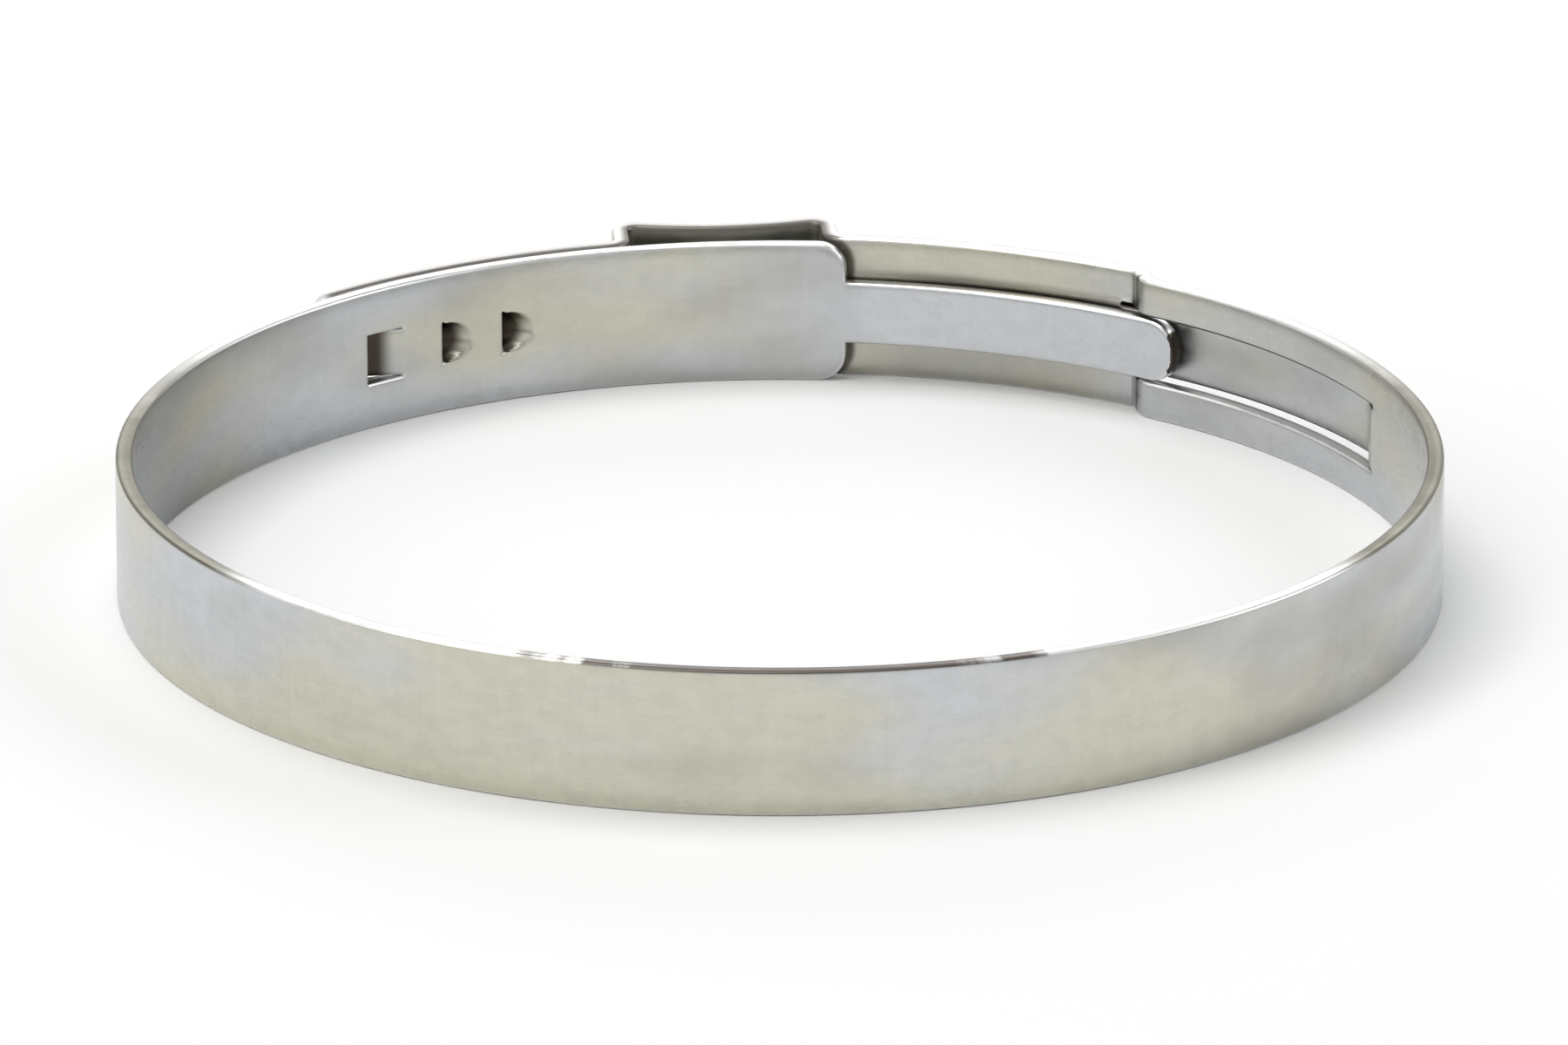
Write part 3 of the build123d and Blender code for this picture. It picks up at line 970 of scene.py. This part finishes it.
@dataclass
class Band:
    """The whole clamp band: one strip, rolled up with its ends overlapping."""

    strip: StripSizes = field(default_factory=StripSizes)
    ear: EarSizes = field(default_factory=EarSizes)
    tongue: TongueSizes = field(default_factory=TongueSizes)
    hooks: HookSizes = field(default_factory=HookSizes)
    roof_points: int = 61
    wall_points: int = 31
    step_points: int = 25
    largest_floor_bend: float = 1.0
    sharp_angle: float = math.radians(50)

    def _roof(self) -> np.ndarray:
        """Lay out the underside of the ear's roof, with its saddle.

        Returns:
            Its points, from left to right.
        """
        half = self.ear.outside_width / 2
        radius = (half**2 + self.ear.saddle**2) / (2 * self.ear.saddle)
        centre = self.ear.top - self.ear.saddle + radius
        across = np.linspace(-1, 1, self.roof_points) * self.ear.inside_width / 2
        down = np.sqrt((radius + self.strip.thickness) ** 2 - across**2)
        return np.stack([across, centre - down], axis=1)

    def _step(self, middle: float) -> tuple[float, float]:
        """Places where a step down to the bore begins and ends."""
        return middle - self.tongue.step_half_run, middle + self.tongue.step_half_run

    def strip_path(self) -> PlanPath:
        """Lay out the whole strip.

        Returns:
            Its path, from its outer end to the tip of its tongue.
        """
        strip, bend = self.strip, self.ear.foot_bend + self.strip.thickness
        bore = strip.bore_radius
        half = self.ear.inside_width / 2
        roof = self._roof()
        left = math.asin(-half / strip.hook_side_level) * bore
        right = math.asin(half / strip.tongue_side_level) * bore
        begin, end = self._step(self.tongue.step)
        left_foot = ring_points(strip.hook_side_level, strip.outer_end, left, bore)
        right_foot = ring_points(strip.tongue_side_level, right, begin, bore)
        path = PlanPath()
        path.add(left_foot)
        path.add(np.linspace(left_foot[-1], roof[0], self.wall_points), bend)
        path.add(roof, self.ear.shoulder_bend)
        path.add(np.linspace(roof[-1], right_foot[0], self.wall_points), self.ear.shoulder_bend)
        path.add(right_foot, bend)
        around = ring_points(bore, end, strip.circumference + self.tongue.tip, bore)
        path.add(np.linspace(right_foot[-1], around[0], self.step_points), self.tongue.step_bend)
        path.add(around, self.tongue.step_bend + strip.thickness)
        path.bend_corners()
        return path

    def floor_path(self) -> PlanPath:
        """Lay out the floor of the channel.

        Returns:
            Its path, from one end of the slot to the other.
        """
        bore, tongue = self.strip.bore_radius, self.tongue
        begin, end = self._step(tongue.floor_step)
        high = ring_points(self.strip.tongue_side_level, tongue.slot_start, begin, bore)
        low = ring_points(bore, end, tongue.slot_end, bore)
        path = PlanPath()
        path.add(high)
        path.add(np.linspace(high[-1], low[0], self.step_points), tongue.step_bend)
        path.add(low, min(tongue.step_bend + self.strip.thickness, self.largest_floor_bend))
        path.bend_corners()
        return path

    def build(self, steel: bpy.types.Material) -> bpy.types.Object:
        """Roll the blank up and hand it over as the clamp band.

        Args:
            steel: finish of the strip.

        Returns:
            The finished band.
        """
        strip_path, floor_path = self.strip_path(), self.floor_path()
        cutter = Blank(self.strip, strip_path, self.ear, self.tongue, self.hooks)
        cutter.place_marks()
        blank = cutter.build("strip_blank")
        curves = [strip_path.as_curve("strip_path"), floor_path.as_curve("floor_path")]
        start, end = cutter.marks["slot_start"], cutter.marks["slot_end"]
        values = {
            "Strip Path": curves[0],
            "Floor Path": curves[1],
            "Floor Start": start * MM,
            "Floor Scale": float(floor_path.travels()[-1] / (end - start)),
            "Steel": steel,
        }
        band = RollTree().apply(blank, values, "clamp_band_steel")
        band.data.set_sharp_from_angle(angle=self.sharp_angle)
        for scrap in (blank, *curves):
            bpy.data.objects.remove(scrap)
        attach(band, "root")
        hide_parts("clamp_band")
        log.info("%s: %d faces", band.name, len(band.data.polygons))
        return band


class NodeSheet:
    """Shader nodes of one material or world, with short ways to add and link them."""

    def __init__(self, tree: bpy.types.NodeTree) -> None:
        """Take over a tree and empty it.

        Args:
            tree: the tree to work on.
        """
        self.tree = tree
        tree.nodes.clear()

    def add(self, kind: str, inputs: dict | None = None, **settings: object) -> bpy.types.Node:
        """Add a node.

        Args:
            kind: type of the node.
            inputs: value or source socket of each input, by its name or number.
            settings: attributes of the node.

        Returns:
            The new node.
        """
        node = self.tree.nodes.new(kind)
        for key, value in settings.items():
            setattr(node, key, value)
        for key, value in (inputs or {}).items():
            if isinstance(value, bpy.types.NodeSocket):
                self.tree.links.new(value, node.inputs[key])
            else:
                node.inputs[key].default_value = value
        return node

    def math(self, operation: str, first: object, second: object = 0.0) -> bpy.types.NodeSocket:
        """Work out a sum of two numbers.

        Args:
            operation: what to do with them.
            first: value or socket of the first number.
            second: value or socket of the second number.

        Returns:
            The socket of the result.
        """
        return self.add("ShaderNodeMath", {0: first, 1: second}, operation=operation).outputs[0]

    def distance(self, value: object, middle: float) -> bpy.types.NodeSocket:
        """How far a value is from a middle."""
        return self.math("ABSOLUTE", self.math("SUBTRACT", value, middle))

    def spread(
        self, value: object, low: float, high: float, to_low: object, to_high: object
    ) -> bpy.types.NodeSocket:
        """Carry a value smoothly from one range to another, held at the ends.

        Args:
            value: value or socket to carry over.
            low: start of its range.
            high: end of its range.
            to_low: value or socket of the result at the start.
            to_high: value or socket of the result at the end.

        Returns:
            The socket of the result.
        """
        inputs = {"Value": value, "From Min": low, "From Max": high, "To Min": to_low, "To Max": to_high}
        return self.add("ShaderNodeMapRange", inputs, interpolation_type="SMOOTHSTEP").outputs["Result"]

    def noise(
        self, vector: object, stretch: tuple[float, float], detail: float, seed: float
    ) -> bpy.types.NodeSocket:
        """Lay noise on the strip.

        Args:
            vector: socket of the strip map.
            stretch: scale along and across the strip.
            detail: detail of the noise.
            seed: moves the noise to another part of the pattern.

        Returns:
            The socket of the noise.
        """
        inputs = {"Vector": vector, "Scale": (*stretch, 1.0), "Location": (seed, seed / 3, seed / 7)}
        placed = self.add("ShaderNodeMapping", inputs)
        inputs = {"Vector": placed.outputs[0], "Scale": 1.0, "Detail": detail, "Roughness": NOISE_ROUGHNESS}
        return self.add("ShaderNodeTexNoise", inputs).outputs["Fac"]

    def layer(self, name: str) -> bpy.types.NodeSocket:
        """Read a layer of numbers that is stored on the mesh."""
        return self.add("ShaderNodeAttribute", attribute_name=name).outputs["Fac"]

    def mix(self, share: object, first: object, second: object) -> bpy.types.NodeSocket:
        """Mix two colours.

        Args:
            share: value or socket of the share of the second colour.
            first: colour or socket of the first colour.
            second: colour or socket of the second colour.

        Returns:
            The socket of the mixed colour.
        """
        node = self.add("ShaderNodeMix", {0: share}, data_type="RGBA")
        for number, value in ((MIX_FIRST_COLOUR, first), (MIX_SECOND_COLOUR, second)):
            if isinstance(value, bpy.types.NodeSocket):
                self.tree.links.new(value, node.inputs[number])
            else:
                node.inputs[number].default_value = (*value, 1.0)
        return node.outputs[MIX_COLOUR_RESULT]


@dataclass(frozen=True)
class SteelFields:
    """Sockets that the steps of the steel finish share."""

    strip: bpy.types.NodeSocket
    travel: bpy.types.NodeSocket
    height: bpy.types.NodeSocket
    grain: bpy.types.NodeSocket
    cross: bpy.types.NodeSocket
    cloud: bpy.types.NodeSocket
    speck: bpy.types.NodeSocket
    shade: bpy.types.NodeSocket
    bore: bpy.types.NodeSocket


@dataclass(frozen=True)
class BandSteel:
    """Bright rolled stainless strip: grain along it, handling haze, sheared edges, and painted light and
    shade.

    The near-white edges are partly a painted highlight; the hook pockets, slits and step get painted
    shade, the overlaps painted shadow lines, and the front of the upper edge and the left inner wall
    painted dark reflections.

    A noise is its scale along and across, its detail and its seed. A fade is the range of a value and
    what it turns into at the two ends. Places are on the strip map, in its units.
    """

    warm: tuple = (0.60, 0.585, 0.49)
    cool: tuple = (0.57, 0.585, 0.605)
    haze: tuple = (0.40, 0.388, 0.352)
    # Near white on the rounded edges: brighter sheared steel, and partly a painted highlight.
    edge: tuple = (0.86, 0.86, 0.85)
    # Dark colour of the painted shadow lines at the overlaps and of the painted dark reflection on the upper
    # edge.
    painted_dark: tuple = (0.075, 0.06, 0.048)
    # Darker tint of the upper edge towards the sides.
    side_edge_dark: tuple = (0.16, 0.15, 0.115)
    # Painted shade: near black in the hook pockets, on the slit edges, at the tongue's tip and at the step.
    pocket: tuple = (0.045, 0.034, 0.024)
    grain_noise: tuple = ((3.0, 95.0), 4.0, 3.0)
    cross_noise: tuple = ((34.0, 1.2), 2.0, 9.0)
    cloud_noise: tuple = ((0.5, 1.2), 2.0, 17.4)
    blotch_noise: tuple = ((0.55, 1.3), 2.5, 31.0)
    speck_noise: tuple = ((9.0, 14.0), 5.0, 47.0)
    wave_noise: tuple = ((0.6, 1.1), 1.0, 61.0)
    cool_clouds: tuple = (0.38, 0.62, 0.0, 1.0)
    cool_end: tuple = (21.3, 22.6, 0.0, 1.0)
    haze_blotches: tuple = (0.48, 0.7, 0.0, 0.6)
    grain_light: tuple = (0.3, 0.7, -0.02, 0.02)
    cross_light: tuple = (0.3, 0.7, -0.01, 0.01)
    speck_light: tuple = (0.35, 0.65, 0.96, 1.03)
    # Painted shade on the bore face: a little darker all round, darkest at this place on the left inner wall,
    # a painted dark reflection.
    dark_patch_middle: float = 17.7
    dark_patch_fade: tuple = (0.5, 2.3, 0.6, 0.93)
    edge_fade: tuple = (0.15, 0.7, 0.0, 1.0)
    edge_strength: float = 0.8
    # Painted dark reflection on the upper edge, darkest at the front.
    dark_reflection_middle: float = 12.5
    dark_reflection_fade: tuple = (0.85, 1.35, 0.95, 0.0)
    ragged_fade: tuple = (0.3, 0.7, -0.25, 0.25)
    upper_edge_fade: tuple = (0.6, 0.66, 0.0, 1.0)
    side_edge_dark_start: tuple = (2.65, 3.25, 0.0, 1.0)
    side_edge_dark_end: tuple = (5.2, 7.0, 1.0, 0.0)
    # Painted shadow beside the upper edge of the tongue, where the layers overlap.
    tongue_shadow_span: tuple = (3.1, 4.7)
    tongue_shadow_ramps: tuple = (0.7, 0.05)
    tongue_shadow_height: float = 0.497
    tongue_shadow_line: tuple = (0.012, 0.065, 0.75, 0.0)
    # Painted shadow around the rounded shoulder of the inner layer, where the layers overlap.
    shoulder_shadow_corner: tuple = (3.129, 0.215, 0.135)
    shoulder_shadow_height: float = 0.35
    shoulder_shadow_line: tuple = (0.006, 0.036, 0.85, 0.0)
    painted_pocket_fade: tuple = (0.14, 0.5, 0.0, 0.97)
    grain_rough: tuple = (0.3, 0.7, -0.05, 0.05)
    speck_rough: tuple = (0.35, 0.65, 0.28, 0.33)
    haze_rough: float = 0.2
    anisotropy: float = 0.45
    cross_relief: float = 0.12
    grain_bump: tuple = (0.3, 0.004 * MM)
    wave_bump: tuple = (0.35, 0.05 * MM)

    def _fields(self, sheet: NodeSheet) -> SteelFields:
        """Lay the noises and read the layers of the mesh.

        Args:
            sheet: nodes of the material.

        Returns:
            The shared sockets.
        """
        strip = sheet.add("ShaderNodeUVMap", uv_map="strip_map").outputs[0]
        travel, height = sheet.add("ShaderNodeSeparateXYZ", {0: strip}).outputs[:2]
        blotch = sheet.noise(strip, *self.blotch_noise)
        return SteelFields(
            strip=strip,
            travel=travel,
            height=height,
            grain=sheet.noise(strip, *self.grain_noise),
            cross=sheet.noise(strip, *self.cross_noise),
            cloud=sheet.noise(strip, *self.cloud_noise),
            speck=sheet.noise(strip, *self.speck_noise),
            shade=sheet.spread(blotch, *self.haze_blotches),
            bore=sheet.layer("bore_side"),
        )

    def _strip_colour(self, sheet: NodeSheet, fields: SteelFields) -> bpy.types.NodeSocket:
        """Colour of the rolled faces.

        Args:
            sheet: nodes of the material.
            fields: the shared sockets.

        Returns:
            The socket of the colour.
        """
        coolness = sheet.spread(fields.cloud, *self.cool_clouds)
        coolness = sheet.math("MAXIMUM", coolness, sheet.spread(fields.travel, *self.cool_end))
        colour = sheet.mix(coolness, self.warm, self.cool)
        colour = sheet.mix(fields.shade, colour, self.haze)
        grain = sheet.spread(fields.grain, *self.grain_light)
        lines = sheet.math("ADD", grain, sheet.spread(fields.cross, *self.cross_light))
        lines = sheet.math("ADD", lines, sheet.spread(fields.speck, *self.speck_light))
        # Painted shade: the bore face is a little darker, and darkest in a patch on the left inner wall, a
        # painted dark reflection.
        from_dark_patch = sheet.distance(fields.travel, self.dark_patch_middle)
        bore_shade = sheet.spread(from_dark_patch, *self.dark_patch_fade)
        lines = sheet.math("MULTIPLY", lines, sheet.spread(fields.bore, 0.0, 1.0, 1.0, bore_shade))
        scaled = sheet.add("ShaderNodeVectorMath", {0: colour, "Scale": lines}, operation="SCALE")
        return scaled.outputs[0]

    def _with_edges(
        self, sheet: NodeSheet, fields: SteelFields, colour: bpy.types.NodeSocket
    ) -> bpy.types.NodeSocket:
        """Add the sheared edges: near white, as brighter steel and partly a painted highlight;
        on the upper one a darker tint at the sides and a painted dark reflection at the front.

        Args:
            sheet: nodes of the material.
            fields: the shared sockets.
            colour: socket of the colour so far.

        Returns:
            The socket of the new colour.
        """
        # Near white on the edges: brighter steel, and partly a painted highlight.
        edge_share = sheet.spread(sheet.layer("sheared"), *self.edge_fade)
        colour = sheet.mix(sheet.math("MULTIPLY", edge_share, self.edge_strength), colour, self.edge)
        from_front = sheet.distance(fields.travel, self.dark_reflection_middle)
        ragged = sheet.math("ADD", from_front, sheet.spread(fields.speck, *self.ragged_fade))
        upper = sheet.spread(fields.height, *self.upper_edge_fade)
        upper_edge = sheet.math("MULTIPLY", edge_share, upper)
        # Darker tint of the upper edge towards the sides.
        sides = sheet.spread(from_front, *self.side_edge_dark_start)
        sides = sheet.math("MULTIPLY", sides, sheet.spread(from_front, *self.side_edge_dark_end))
        colour = sheet.mix(sheet.math("MULTIPLY", upper_edge, sides), colour, self.side_edge_dark)
        # Painted dark reflection on the upper edge, darkest at the front, with a ragged border.
        dark_reflection = sheet.math("MULTIPLY", upper_edge, sheet.spread(ragged, *self.dark_reflection_fade))
        return sheet.mix(dark_reflection, colour, self.painted_dark)

    def _tongue_shadow(self, sheet: NodeSheet, fields: SteelFields) -> bpy.types.NodeSocket:
        """Painted shadow: a dark line beside the upper edge of the tongue, where the layers overlap.

        Args:
            sheet: nodes of the material.
            fields: the shared sockets.

        Returns:
            The socket of its share.
        """
        start, end = self.tongue_shadow_span
        first_ramp, last_ramp = self.tongue_shadow_ramps
        shadowed = sheet.spread(fields.travel, start, start + first_ramp, 0.0, fields.bore)
        ending = sheet.spread(fields.travel, end - last_ramp, end, 1.0, 0.0)
        shadowed = sheet.math("MULTIPLY", shadowed, ending)
        from_tongue_shadow = sheet.distance(fields.height, self.tongue_shadow_height)
        return sheet.math("MULTIPLY", shadowed, sheet.spread(from_tongue_shadow, *self.tongue_shadow_line))

    def _shoulder_shadow(self, sheet: NodeSheet, fields: SteelFields) -> bpy.types.NodeSocket:
        """Painted shadow: a dark line around the rounded shoulder of the inner layer, where the layers
        overlap.

        Args:
            sheet: nodes of the material.
            fields: the shared sockets.

        Returns:
            The socket of its share.
        """
        start, half, radius = self.shoulder_shadow_corner
        across = sheet.math("SUBTRACT", sheet.distance(fields.height, self.shoulder_shadow_height), half)
        across = sheet.math("POWER", sheet.math("MAXIMUM", across, 0.0), 2.0)
        along = sheet.math("MAXIMUM", sheet.math("SUBTRACT", fields.travel, start), 0.0)
        from_shoulder_shadow = sheet.math("SQRT", sheet.math("ADD", sheet.math("POWER", along, 2.0), across))
        from_shoulder_shadow = sheet.distance(from_shoulder_shadow, radius)
        return sheet.math("MULTIPLY", sheet.spread(from_shoulder_shadow, *self.shoulder_shadow_line), fields.bore)

    def _rough(self, sheet: NodeSheet, fields: SteelFields) -> bpy.types.NodeSocket:
        """Roughness of the steel.

        Args:
            sheet: nodes of the material.
            fields: the shared sockets.

        Returns:
            The socket of the roughness.
        """
        hazy = sheet.math("MULTIPLY", fields.shade, self.haze_rough)
        rough = sheet.math("ADD", sheet.spread(fields.grain, *self.grain_rough), hazy)
        return sheet.math("ADD", rough, sheet.spread(fields.speck, *self.speck_rough))

    def _normal(self, sheet: NodeSheet, fields: SteelFields) -> bpy.types.NodeSocket:
        """Relief of the steel: fine grain and a slow wave.

        Args:
            sheet: nodes of the material.
            fields: the shared sockets.

        Returns:
            The socket of the normal.
        """
        relief = sheet.math("ADD", fields.grain, sheet.math("MULTIPLY", fields.cross, self.cross_relief))
        strength, depth = self.grain_bump
        bump = sheet.add("ShaderNodeBump", {"Height": relief, "Strength": strength, "Distance": depth})
        wave = sheet.noise(fields.strip, *self.wave_noise)
        strength, depth = self.wave_bump
        inputs = {"Height": wave, "Strength": strength, "Distance": depth, "Normal": bump.outputs[0]}
        return sheet.add("ShaderNodeBump", inputs).outputs[0]

    def build(self) -> bpy.types.Material:
        """Make the material.

        Returns:
            The finish of the strip.
        """
        material = bpy.data.materials.new("band_steel")
        material.use_nodes = True
        sheet = NodeSheet(material.node_tree)
        fields = self._fields(sheet)
        colour = self._with_edges(sheet, fields, self._strip_colour(sheet, fields))
        # Painted shadow lines where the layers overlap.
        painted_shadow_lines = sheet.math("MAXIMUM", self._tongue_shadow(sheet, fields), self._shoulder_shadow(sheet, fields))
        colour = sheet.mix(painted_shadow_lines, colour, self.painted_dark)
        # Painted shade in the hook pockets, on the slit edges, at the tongue's tip and at the step.
        pocket = sheet.spread(sheet.layer("pocket"), *self.painted_pocket_fade)
        tangent = sheet.add("ShaderNodeTangent", direction_type="UV_MAP", uv_map="strip_map")
        inputs = {
            "Base Color": sheet.mix(pocket, colour, self.pocket),
            "Metallic": 1.0,
            "Roughness": self._rough(sheet, fields),
            "Anisotropic": self.anisotropy,
            "Normal": self._normal(sheet, fields),
            "Tangent": tangent.outputs[0],
        }
        shader = sheet.add("ShaderNodeBsdfPrincipled", inputs)
        sheet.add("ShaderNodeOutputMaterial", {"Surface": shader.outputs[0]})
        return material


@dataclass(frozen=True)
class SoftBox:
    """One soft rectangular light that faces the clamp."""

    name: str
    place: tuple
    size: tuple
    power: float
    tint: tuple = (1.0, 1.0, 1.0)
    aim: tuple = (0.0, 0.0, 0.003)

    def build(self) -> None:
        """Add the light to the scene."""
        light = bpy.data.lights.new(self.name, "AREA")
        light.shape = "RECTANGLE"
        light.size, light.size_y = self.size
        light.energy = self.power
        light.color = self.tint
        holder = bpy.data.objects.new(self.name, light)
        holder.location = self.place
        heading = Vector(self.aim) - Vector(self.place)
        holder.rotation_euler = heading.to_track_quat("-Z", "Y").to_euler()
        bpy.context.scene.collection.objects.link(holder)


@dataclass(frozen=True)
class Studio:
    """Pale floor, soft lights and a white surround that is greyer where only the steel sees it."""

    floor_colour: tuple = (0.985, 0.985, 0.98)
    floor_side: float = 4.0
    fleck_scale: float = 40.0
    fleck_detail: float = 3.0
    fleck_darkening: float = 0.985
    surround: tuple = (0.35, 0.9, 1.0, 0.4)
    fill: tuple = (0.1, 0.8, 0.6, 0.27)
    boxes: tuple = (
        SoftBox("top_box", (-0.25, 0.1, 1.0), (1.0, 0.8), 6.9),
        SoftBox("left_box", (-0.9, -0.45, 0.7), (0.5, 0.7), 2.6, (1.0, 0.985, 0.95)),
        SoftBox("right_box", (0.9, 0.1, 0.65), (0.5, 0.6), 2.5, (0.95, 0.975, 1.0)),
        SoftBox("back_box", (0.15, 1.1, 0.5), (1.2, 0.35), 2.4),
    )

    def _floor(self) -> None:
        """Lay the floor."""
        half = self.floor_side / 2
        mesh = bpy.data.meshes.new("floor")
        corners = [(-half, -half, 0), (half, -half, 0), (half, half, 0), (-half, half, 0)]
        mesh.from_pydata(corners, [], [(0, 1, 2, 3)])
        floor = bpy.data.objects.new("floor", mesh)
        material = bpy.data.materials.new("pale_floor")
        material.use_nodes = True
        sheet = NodeSheet(material.node_tree)
        place = sheet.add("ShaderNodeTexCoord").outputs["Object"]
        inputs = {"Vector": place, "Scale": self.fleck_scale, "Detail": self.fleck_detail}
        fleck = sheet.add("ShaderNodeTexNoise", inputs).outputs["Fac"]
        darker = tuple(channel * self.fleck_darkening for channel in self.floor_colour)
        colour = sheet.mix(fleck, self.floor_colour, darker)
        shader = sheet.add("ShaderNodeBsdfDiffuse", {"Color": colour})
        sheet.add("ShaderNodeOutputMaterial", {"Surface": shader.outputs[0]})
        mesh.materials.append(material)
        bpy.context.scene.collection.objects.link(floor)

    def _sky(self) -> None:
        """Build the surround."""
        world = bpy.data.worlds.new("studio")
        bpy.context.scene.world = world
        world.use_nodes = True
        sheet = NodeSheet(world.node_tree)
        heading = sheet.add("ShaderNodeTexCoord").outputs["Generated"]
        up = sheet.add("ShaderNodeSeparateXYZ", {0: heading}).outputs["Z"]
        fill = sheet.spread(up, *self.fill)
        surround = sheet.spread(up, *self.surround)
        rays = sheet.add("ShaderNodeLightPath").outputs
        seen = sheet.math("MAXIMUM", rays["Is Camera Ray"], rays["Is Glossy Ray"])
        seen = sheet.math("MAXIMUM", seen, rays["Is Transmission Ray"])
        strength = sheet.add("ShaderNodeMix", {0: seen, 2: fill, 3: surround}).outputs[0]
        shader = sheet.add("ShaderNodeBackground", {"Strength": strength})
        sheet.add("ShaderNodeOutputWorld", {"Surface": shader.outputs[0]})

    def build(self) -> None:
        """Set up floor, surround and lights."""
        self._floor()
        self._sky()
        for box in self.boxes:
            box.build()
        bpy.context.scene.view_settings.view_transform = "Standard"


@dataclass(frozen=True)
class Viewpoint:
    """Where the camera stands, seen from the middle of the ring."""

    azimuth: float = math.radians(-4.7)
    elevation: float = math.radians(19.23)
    distance: float = 0.8445
    focal_pixels: float = 20546.0
    sensor_width: float = 36.0
    ring_centre_u: float = 895.2
    ring_centre_v: float = 595.2
    ring_mid_height: float = 0.0035
    clip_end: float = 10.0

    def build(self) -> bpy.types.Object:
        """Make the camera and give it to the scene.

        Returns:
            The object that holds the camera.
        """
        flat, up = math.cos(self.elevation), math.sin(self.elevation)
        back = Vector((math.sin(self.azimuth) * flat, -math.cos(self.azimuth) * flat, up))
        target = Vector((0.0, 0.0, self.ring_mid_height))
        camera = bpy.data.cameras.new("camera")
        camera.sensor_width = self.sensor_width
        camera.lens = self.focal_pixels / SHEET_WIDTH * self.sensor_width
        camera.shift_x = (SHEET_WIDTH / 2 - self.ring_centre_u) / SHEET_WIDTH
        camera.shift_y = (self.ring_centre_v - SHEET_HEIGHT / 2) / SHEET_WIDTH
        camera.clip_end = self.clip_end
        holder = bpy.data.objects.new("camera", camera)
        holder.location = target + back * self.distance
        holder.rotation_euler = (-back).to_track_quat("-Z", "Y").to_euler()
        bpy.context.scene.collection.objects.link(holder)
        bpy.context.scene.camera = holder
        return holder


def main() -> None:
    """Build the whole picture."""
    logging.basicConfig(level=logging.INFO)
    Studio().build()
    Viewpoint().build()
    Band().build(BandSteel().build())


if __name__ == "__main__":
    main()
